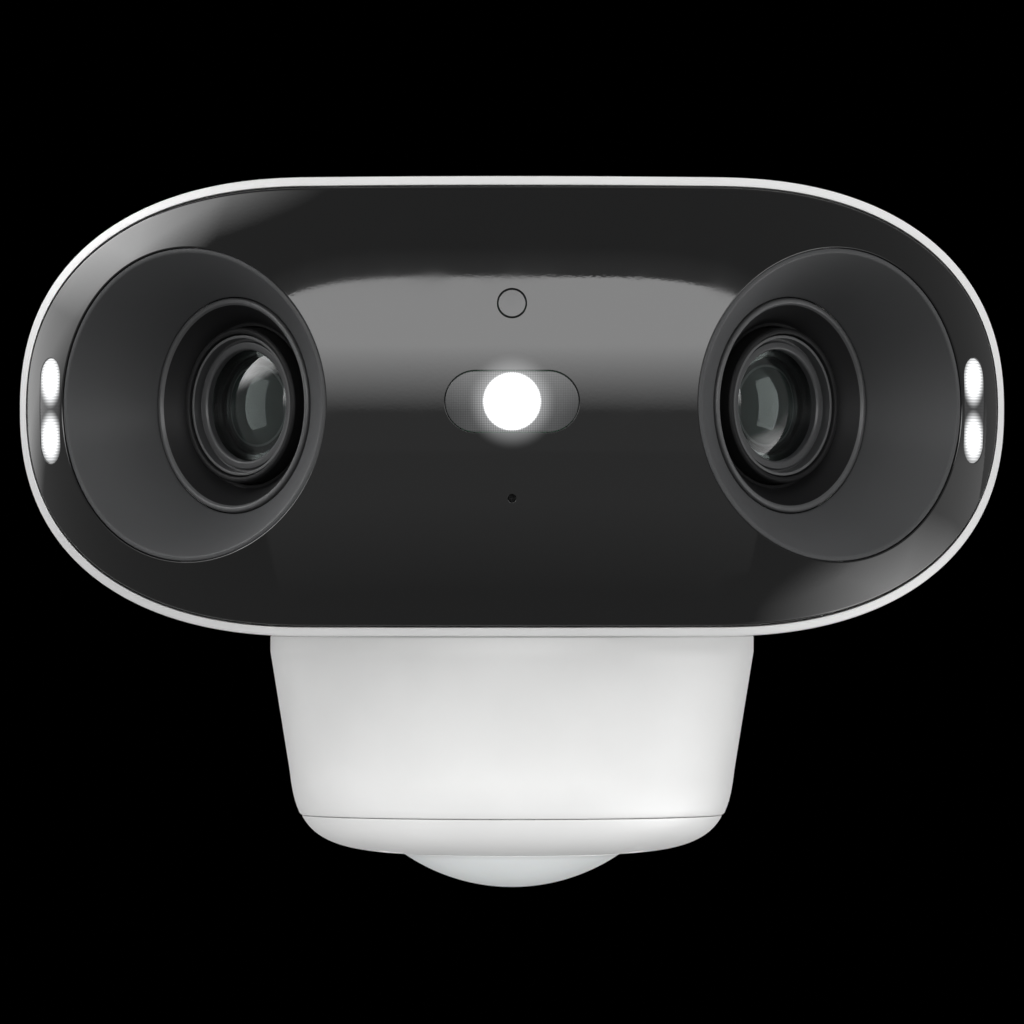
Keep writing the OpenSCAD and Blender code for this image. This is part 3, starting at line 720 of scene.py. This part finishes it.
def build_barrel(name, side):
    r, top = BARREL_D / 2, HOOD_DEPTH + 1.3
    profile = [
        (r - 1.2, top + 0.1),
        (r - 0.8, top),
        (r - 0.4, top),
        (r, top + 0.4),
        (r, 34),
        (8.2, 34),
        (8.2, 29),
        (9, 26),
        (9, 19.5),
        (r - 3.6, 19.5),
        (r - 3.6, 16.15),
        (r - 1.5, 16.15),
    ]
    radii = [0.15, 0.1, 0.15, 0.2, 0.3, 0.2, 0, 0.3, 0.3, 0, 0, 0]
    return revolve(name, rounded(profile, radii), along_lens(side), 144, 50)


def build_ring(name, side):
    r, inner, top = BARREL_D / 2 - 1.5, GLASS_D / 2 - 0.3, HOOD_DEPTH + 1.9
    profile = [
        (r, top),
        (r, 16.1),
        (inner, 16.1),
        (inner, top + 1.6),
        (inner + 0.3, top + 1.3),
        (inner + 1.5, top + 1.3),
        (inner + 1.7, top + 1.9),
        (inner + 2.15, top + 1.9),
        (inner + 2.3, top),
    ]
    radii = [0.1, 0, 0, 0.1, 0.2, 0.15, 0.1, 0.1, 0.12]
    return revolve(name, rounded(profile, radii), along_lens(side), 144, 50)


def dome_profile(radius, depth, curve, bulge, steps=14):
    """The outer half of a lens face that starts at depth and bulges towards the front."""
    points = []
    for i in range(steps + 1):
        r = radius * (1 - i / steps)
        points.append((r, depth - bulge * (math.sqrt(curve**2 - r * r) - curve)))
    return points


def build_glass(name, side):
    r = BARREL_D / 2 - 3.75
    front, back = dome_profile(r, 13.75, 26, 1), dome_profile(r, 17.2, 20, 1)
    return revolve(name, front + back[::-1][:-3] + [(r, 19.45)], along_lens(side), 96)


def build_inner_lens(name, side):
    front = dome_profile(8.8, 18.2, 30, 1, 22)
    return revolve(name, front + [(0, 25.8), (8.8, 25.8)], along_lens(side), 96)


# ---------------------------------------------------------------- base
def base_section(radius, flat, turns=256, power=22):
    """A circle of the given radius whose back is cut flat, with softened corners."""
    points = []
    for i in range(turns):
        t = 2 * math.pi * i / turns
        r = radius
        if math.sin(t) > 0.2:
            r = (radius**-power + (flat / math.sin(t)) ** -power) ** (-1 / power)
        points.append((r * math.cos(t), BASE_Y + r * math.sin(t)))
    return points


def under_head(y):
    """The height of the head's underside, a hair below it, at y behind the front."""
    clear = -HEAD_H / 2 - HEAD_DROP - 0.08
    if y <= ROUND_Y:
        return clear
    along = (y - ROUND_Y) / (HEAD_DEPTH - ROUND_Y + 0.05)
    return clear + ROUND_IN * (1 - math.sqrt(max(0, 1 - along**2)))


def base_radius(z):
    """The radius of the base's outer wall at height z."""
    for (z0, r0), (z1, r1) in zip(BASE_WALL, BASE_WALL[1:]):
        if z >= z1:
            t = (z0 - z) / (z0 - z1)
            return r0 + (r1 - r0) * t
    return shoulder(z)[0]


def shoulder_at(t):
    """The radius and height of the base's rounded shoulder, a curve from 0 at its top to 1."""
    q = 1 - t
    weights = [q**3, 3 * t * q * q, 3 * t * t * q, t**3]
    return tuple(sum(w * c[k] for w, c in zip(weights, SHOULDER)) for k in (0, 1))


def shoulder(z):
    """The shoulder's radius and height where it passes z."""
    low, high = 0.0, 1.0
    for _ in range(40):
        mid = (low + high) / 2
        low, high = (mid, high) if shoulder_at(mid)[1] > z else (low, mid)
    return shoulder_at(low)


def build_base_housing():
    rings = []

    def wall_ring(z, inset, rise=0.0):
        section = base_section(base_radius(z) - inset, BASE_FLAT - inset)
        return [(x, y, z + rise * (under_head(y) - z)) for x, y in section]

    for drop in (0.0, 0.12, 0.35):
        rings.append(wall_ring(SEAM_Z + drop, 0.3 * (1 - drop / 0.35) ** 2))
    heights = [-79 + 1.1 * i for i in range(28)]
    rings += [wall_ring(z, 0) for z in heights if z < -48.6]
    for f in (0.0, 0.25, 0.5, 0.75, 0.93, 1.0):
        rings.append(wall_ring(-48.4, 0.25 if f == 1 else 0.0, f))
    for f in (0.9, 0.7, 0.5, NECK_HOLE_R / NECK_R):
        section = base_section(NECK_R * f, BASE_FLAT - 0.3)
        rings.append([(x, y, under_head(y)) for x, y in section])
    for radius, flat in ((NECK_HOLE_R, BASE_FLAT), (44.5, BASE_FLAT - WALL)):
        rings.append([(x, y, NECK_Z) for x, y in base_section(radius, flat)])
    rings += [wall_ring(z, WALL) for z in (-55, -60, -65, -70, -74, -78, SEAM_Z)]
    housing = mesh_object("base_housing_visual", *loft(rings))
    flap_lo, flap_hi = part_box("card_flap")
    back = BASE_Y + BASE_FLAT
    low_x, high_x = flap_lo.x / MM - 0.3, flap_hi.x / MM + 0.3
    pin_z = flap_lo.z / MM + 1.5 - MID_Z
    high_z = flap_hi.z / MM + 0.3 - MID_Z
    sound_hole = [(0, 70), (0.9, 70), (0.9, 90), (0, 90)]
    reset_hole = [(0, 70), (2.6, 70), (2.6, 83.6), (3.0, 84.2), (0, 84.2)]
    cutters = [
        plug(straight_back(SOUND_X + x, 0, SOUND_Z + z), sound_hole, 24)
        for x, z in [(0, 0)] + circle(5, 6)
    ]
    cutters.append(plug(straight_back(RESET_X, 0, RESET_Z), reset_hole))
    cutters.append(slab(low_x, high_x, back - 1.9, back + 3, pin_z, high_z))
    cutters.append(slab(low_x + 4.8, high_x - 4.8, back - 12, back - 1, -63.2, -60.4))
    return combine(housing, cutters)


def slab(x0, x1, y0, y1, z0, z1):
    """A plain block used as a cutter, in the head's millimetres."""
    ring = [(x0, z0), (x1, z0), (x1, z1), (x0, z1)]
    ends = [[(x, y, z) for x, z in ring] for y in (y0, y1)]
    return mesh_object("cutter", *loft(ends, False, True))


def build_bottom_cap():
    rings = []

    def ring(radius, z, inset):
        return [(x, y, z) for x, y in base_section(radius, BASE_FLAT - inset)]

    top = SEAM_Z - 0.12
    rings.append(ring(shoulder(top)[0] - 0.2 - WALL, top, WALL + 0.2))
    rings.append(ring(shoulder(top)[0] - 0.4, top, 0.4))
    rings.append(ring(shoulder(top - 0.06)[0] - 0.25, top - 0.06, 0.25))
    start = top - 0.25
    low = next(t / 400 for t in range(400) if shoulder_at(t / 400)[1] < start)
    for i in range(33):
        r, z = shoulder_at(low + (1 - low) * i / 32)
        rings.append(ring(r - 0.2, z, 0.2))
    rings.append(ring(DOME_D / 2 - 1.9, BASE_END_Z, 0.2))
    rings.append(ring(DOME_D / 2 - 2.0, BASE_END_Z + 2.4, 0.2))
    for t in (0.95, 0.8, 0.6, 0.45, 0.35):
        r, z = shoulder_at(t)
        level = min(max(z + 2.4, BASE_END_Z + 2.4), top - 1)
        rings.append(ring(r - WALL - 0.2, level, WALL + 0.2))
    cap = mesh_object("base_bottom_cap_visual", *loft(rings))
    well = [(0, -92), (WELL_R, -92), (WELL_R, -87), (SCREW_R, -87), (SCREW_R, -70), (0, -70)]
    return combine(cap, [plug(upwards(x, BASE_Y + y, 0), well) for x, y in CAP_SCREWS])


def build_dome():
    r = DOME_D / 2
    sphere = (r * r + DOME_RISE**2) / (2 * DOME_RISE)
    outer, inner = [], []
    for i in range(21):
        x = (r - 0.25) * (1 - i / 20)
        outer.append((x, BASE_END_Z - DOME_RISE + sphere - math.sqrt(sphere**2 - x * x)))
    for i in range(17):
        x = (r - 2) * i / 16
        level = BASE_END_Z - DOME_RISE + sphere - math.sqrt((sphere - 1.6) ** 2 - x * x)
        inner.append((x, min(level, BASE_END_Z - 0.02)))
    profile = [(r - 0.02, BASE_END_Z - 0.02), (r - 0.1, BASE_END_Z - 0.15)] + outer + inner
    return revolve("motion_sensor_dome_visual", profile, upwards(0, BASE_Y, 0), 160, 50)


# ---------------------------------------------------------------- the pieces
def show(obj, slot, *nodes, body="camera", look=None):
    """Gives a piece its finish, from its slot unless a look is given, and its body, in place of
    the CAD nodes.
    """
    obj.data.materials.clear()
    obj.data.materials.append(look or FINISH[slot])
    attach(obj, body)
    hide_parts(*nodes)


rings_of_light = ((5.2, 0.12, 6.0), (6.5, 0.35, 0.4), (10.5, 0.6, 0.1))
window_look = glow_material(
    "lit_centre_window",
    (0.02, 0.021, 0.022),
    [(0, WINDOW_Z, r, r, soft, strength) for r, soft, strength in rings_of_light],
    roughness=0.1,
    base=0.01,
    ribs=(0.45, 0.45),
    depth=0.35,
)
FINISH["smoked_window"] = material("smoked_dark", (0.02, 0.021, 0.022), 0.12, 0.8, 0.001, 0.02)
FINISH["light_emitter"] = material(
    "light_emitter",
    (0.9, 0.9, 0.88),
    0.4,
    0.4,
    0.002,
    emission_strength=2.0,
    emission_color=(1, 1, 1, 1),
)

# The head shell and rear cover take the lighter copy of the white plastic: painted light.
show(build_head_shell(), "white_plastic", "head_shell", look=FINISH["bright_white_plastic"])
show(build_rear_cover(), "white_plastic", "rear_cover", look=FINISH["bright_white_plastic"])
# The gloss black front carries a painted glow: a soft emitted halo round the centre window spills
# onto the fascia, which is no lamp.
fascia_painted_glow_look = glow_material(
    "gloss_black_front_painted_glow",
    (0.003, 0.0031, 0.0032),
    [(0, WINDOW_Z, 7, 7, 0.36, 0.25)],
    roughness=0.03,
    base=0.0,
    ribs=(0, 0),
    depth=0.0,
)
show(build_fascia(), "gloss_black", "front_fascia", look=fascia_painted_glow_look)
seal_front, seal_back = SPLIT_Y, SPLIT_Y + SEAL_T
seal_corners = ((0.7, seal_front), (0.7, seal_back), (2.4, seal_back), (2.4, seal_front))
seal_rings = [head_ring(inset, y) for inset, y in seal_corners]
show(mesh_object("head_seal_visual", *loft(seal_rings)), "seal_rubber", "head_seal")
for side, word in ((-1, "left"), (1, "right")):
    show(build_dish(word + "_dish_visual", side), "satin_dish", word + "_lens_dish")
    hood = build_hood(word + "_hood_visual", side)
    show(hood, "black_hood", word + "_lens_hood")
    paint(hood, side, FINISH["hood_lip"], depth=HOOD_DEPTH + 0.3)
    show(build_barrel(word + "_barrel_visual", side), "black_hood", word + "_lens_barrel")
    ring = build_ring(word + "_ring_visual", side)
    show(ring, "grey_ring", word + "_retaining_ring")
    paint(ring, side, FINISH["hood_lip"], depth=HOOD_DEPTH + 2.3, radius=GLASS_D / 2 + 1.9)
    show(build_glass(word + "_glass_visual", side), "lens_glass", word + "_front_glass")
    lens = build_inner_lens(word + "_inner_lens_visual", side)
    show(lens, "coated_glass", word + "_inner_lens")
    paint(lens, side, FINISH["hood_lip"], radius=7.15)
    paint(lens, side, FINISH["black_hood"], radius=7.5)
    shape = pill(SIDE_W - 0.1, SIDE_H - 0.1)
    light = pane(word + "_side_window_visual", side, SIDE_MID, SIDE_ANGLE, shape, 0.15)
    look = glow_material(
        word + "_lit_side_window",
        (0.02, 0.02, 0.021),
        [(side * (SIDE_X - 0.3), z, 1.7, 4.1, 0.45, 1.7) for z in (5.2, -6.35)],
        roughness=0.15,
        base=0.02,
        ribs=(0, 0.6),
        depth=0.4,
    )
    show(light, "light_window", word + "_side_window", look=look)

shape = pill(WINDOW_W - 0.24, WINDOW_H - 0.24)
window = pane("centre_window_visual", 1, Vector((0, 0, WINDOW_Z)), 0, shape, 0.15)
show(window, "smoked_window", "centre_window", look=window_look)
shape = circle(SENSOR_D / 2 - 0.16, 48)
sensor = pane("light_sensor_visual", 1, Vector((0, 0, SENSOR_Z)), 0, shape, 0.15)
show(sensor, "smoked_window", "light_sensor_window")
show(build_base_housing(), "white_plastic", "base_housing")
show(build_bottom_cap(), "grey_white_plastic", "base_bottom_cap")
show(build_dome(), "dome_plastic", "motion_sensor_dome")

SOFTENED = [
    ("wall_plate", "white_plastic", "wall_mount", 0.5),
    ("pivot_bracket", "white_metal", "wall_mount", 0.5),
    ("swivel_arm", "white_metal", "swivel", 0.5),
    ("tilt_fork", "white_metal", "camera", 0.5),
    ("cable_gland", "black_plastic", "camera", 0.3),
    ("card_flap", "white_plastic", "card_flap", 0.25),
    ("reset_button", "seal_rubber", "reset_button", 0.25),
    ("cover_screws", "steel", "camera", 0.15),
    ("cap_screws", "steel", "camera", 0.15),
    ("fork_screws", "steel", "camera", 0.15),
    ("bracket_screws", "steel", "wall_mount", 0.15),
    ("pan_pin", "steel", "wall_mount", 0.3),
    ("pan_nut", "steel", "wall_mount", 0.3),
    ("tilt_pin", "steel", "camera", 0.3),
    ("tilt_nut", "steel", "camera", 0.3),
]
for node, slot, body, width in SOFTENED:
    piece = softened(node, width)
    if node == "cap_screws":  # seated a little deeper in their wells
        piece.data.transform(Matrix.Translation((0, 0, 0.5 * MM)))
    show(piece, slot, node, body=body)

slots_of = {part["node"]: part["material_slot"] for part in frame["record"]["subparts"]}
for node, obj in frame["nodes"].items():
    if slots_of[node] in FINISH:
        obj.data.materials.clear()
        obj.data.materials.append(FINISH[slots_of[node]])

# ---------------------------------------------------------------- lights and camera
head = Vector((0, FRONT_Y * MM, MID_Z * MM))
ROOM = 0.32  # the brightness of the room all round
PANEL_FAR = 2.6  # metres from the head to the panels
PANEL_RISE = 0.8  # degrees that the panels are raised, as the camera looks up at the head


def bent_panel(name, top, bottom, level, *ramps):
    """A glowing screen round the object between two lines of (azimuth, elevation) in degrees, seen
    only in reflections. Each ramp is (axis, start, end, share at start), in metres from the head,
    or from the bottom line when its axis is lift."""
    points = []
    for line in (top, bottom):
        for az, el in line:
            turn, up = math.radians(az), math.tan(math.radians(el + PANEL_RISE))
            points.append(head + PANEL_FAR * Vector((math.sin(turn), -math.cos(turn), up)))
    n = len(top)
    mesh = bpy.data.meshes.new(name)
    mesh.from_pydata(points, [], [(i, i + 1, n + i + 1, n + i) for i in range(n - 1)])
    lift = mesh.attributes.new("lift", "FLOAT", "POINT")
    for i in range(n):
        lift.data[i].value = abs(points[i].z - points[n + i].z)
    obj = linked(name, mesh)
    glow = bpy.data.materials.new(name)
    glow.use_nodes = True
    tree = glow.node_tree
    shader = tree.nodes["Principled BSDF"]
    shader.inputs["Base Color"].default_value = (0, 0, 0, 1)
    shader.inputs["Specular IOR Level"].default_value = 0
    shader.inputs["Emission Color"].default_value = (1, 1, 1, 1)
    where = tree.nodes.new("ShaderNodeTexCoord")
    split = tree.nodes.new("ShaderNodeSeparateXYZ")
    tree.links.new(where.outputs["Object"], split.inputs["Vector"])
    heights = tree.nodes.new("ShaderNodeAttribute")
    heights.attribute_name = "lift"
    total = None
    for axis, start, end, share in ramps:
        if axis == "lift":
            value, middle = heights.outputs["Fac"], 0
        else:
            value, middle = split.outputs[axis], head["XYZ".index(axis)]
        full = 1 if total else level
        faded = map_range(tree, value, middle + start, middle + end, share * full, full)
        total = math_node(tree, "MULTIPLY", total, faded) if total else faded
    brightness = math_node(tree, "MAXIMUM", total, ROOM)
    tree.links.new(brightness, shader.inputs["Emission Strength"])
    mesh.materials.append(glow)
    obj.visible_camera = obj.visible_diffuse = False
    obj.visible_shadow = obj.visible_transmission = False


def lamp(name, kind, place, aim, energy):
    """A light that the glossy parts don't mirror."""
    obj = linked(name, bpy.data.lights.new(name, kind))
    obj.data.energy = energy
    obj.location = head + Vector(place)
    obj.rotation_euler = (Vector(aim) - Vector(place)).to_track_quat("-Z", "Y").to_euler()
    obj.visible_glossy = obj.visible_camera = False
    return obj.data


def area_lamp(name, place, energy, width, height):
    """A rectangular lamp that points at the head's middle."""
    data = lamp(name, "AREA", place, (0, 0, 0), energy)
    data.shape, data.size, data.size_y = "RECTANGLE", width, height


world = bpy.data.worlds.new("studio")
bpy.context.scene.world = world
world.use_nodes = True
world.node_tree.nodes["Background"].inputs["Color"].default_value = (ROOM, ROOM, ROOM, 1)
world.cycles_visibility.camera = False
bpy.context.scene.view_settings.view_transform = "Standard"

front_edge = [(az, 18.6 - 2.5 * (az / 40) ** 4) for az in range(-48, 49, 4)]
below, bottom, above = ([(az, el) for az, _ in front_edge] for el in (-7, -45, 26))
bent_panel("front", front_edge, below, 5.65, ("Z", -0.02, 0.42, 0.1))
bent_panel("front_low", below, bottom, 0.52, ("lift", 0.9, 1.9, 0.45))
bent_panel("front_high", above, front_edge, 0.6, ("lift", 0.25, 0.0, 0.5))
left_edge = [(az, 30.0 + (az + 33) * 0.24) for az in range(-28, -64, -5)]
left_edge += [(az, 22.2 + (az + 63) * 0.48) for az in range(-68, -134, -5)]
left_fades = (("Y", -2.2, -0.1, 0.0), ("Z", 0.45, 0.9, 0.3), ("lift", 0.0, 0.4, 0.12))
bent_panel("left", [(az, 37) for az, _ in left_edge], left_edge, 7.4, *left_fades)
right_edge = [(42, -25), (60, -21), (71, -17), (84, -9), (95, 0), (110, 2), (125, 3)]
right_fades = (("Y", -1.7, 0.2, 0.0), ("Z", -0.5, -1.05, 0.18), ("lift", 0.0, 0.35, 0.1))
bent_panel("right", [(az, -48) for az, _ in right_edge], right_edge, 4.4, *right_fades)
area_lamp("fill", (0, -2.5, 0.3), 6, 3.0, 2.0)
area_lamp("top", (0, -1.05, 2.2), 25, 2.4, 1.2)
area_lamp("left_wing", (-2.0, -0.15, 0.1), 11, 1.2, 1.6)
area_lamp("right_wing", (2.0, -0.15, 0.1), 15, 1.2, 1.6)
low = lamp("low", "SPOT", (0, -1.25, -0.45), (0, 0.01, -0.232), 48)
low.spot_size, low.spot_blend, low.shadow_soft_size = math.radians(16), 0.17, 0.03

CAMERA_FAR, CAMERA_DROP = 2130, 30  # mm in front of the head and below its middle
CAMERA_TILT = math.radians(0.242)
camera = bpy.data.cameras.new("camera")
camera.lens, camera.sensor_width = 388, 36
camera.clip_start, camera.clip_end = 0.05, 30
camera_obj = linked("camera", camera)
camera_obj.location = (0, (FRONT_Y - CAMERA_FAR) * MM, (MID_Z - CAMERA_DROP) * MM)
camera_obj.rotation_euler = (math.pi / 2 + CAMERA_TILT, 0, 0)
bpy.context.scene.camera = camera_obj
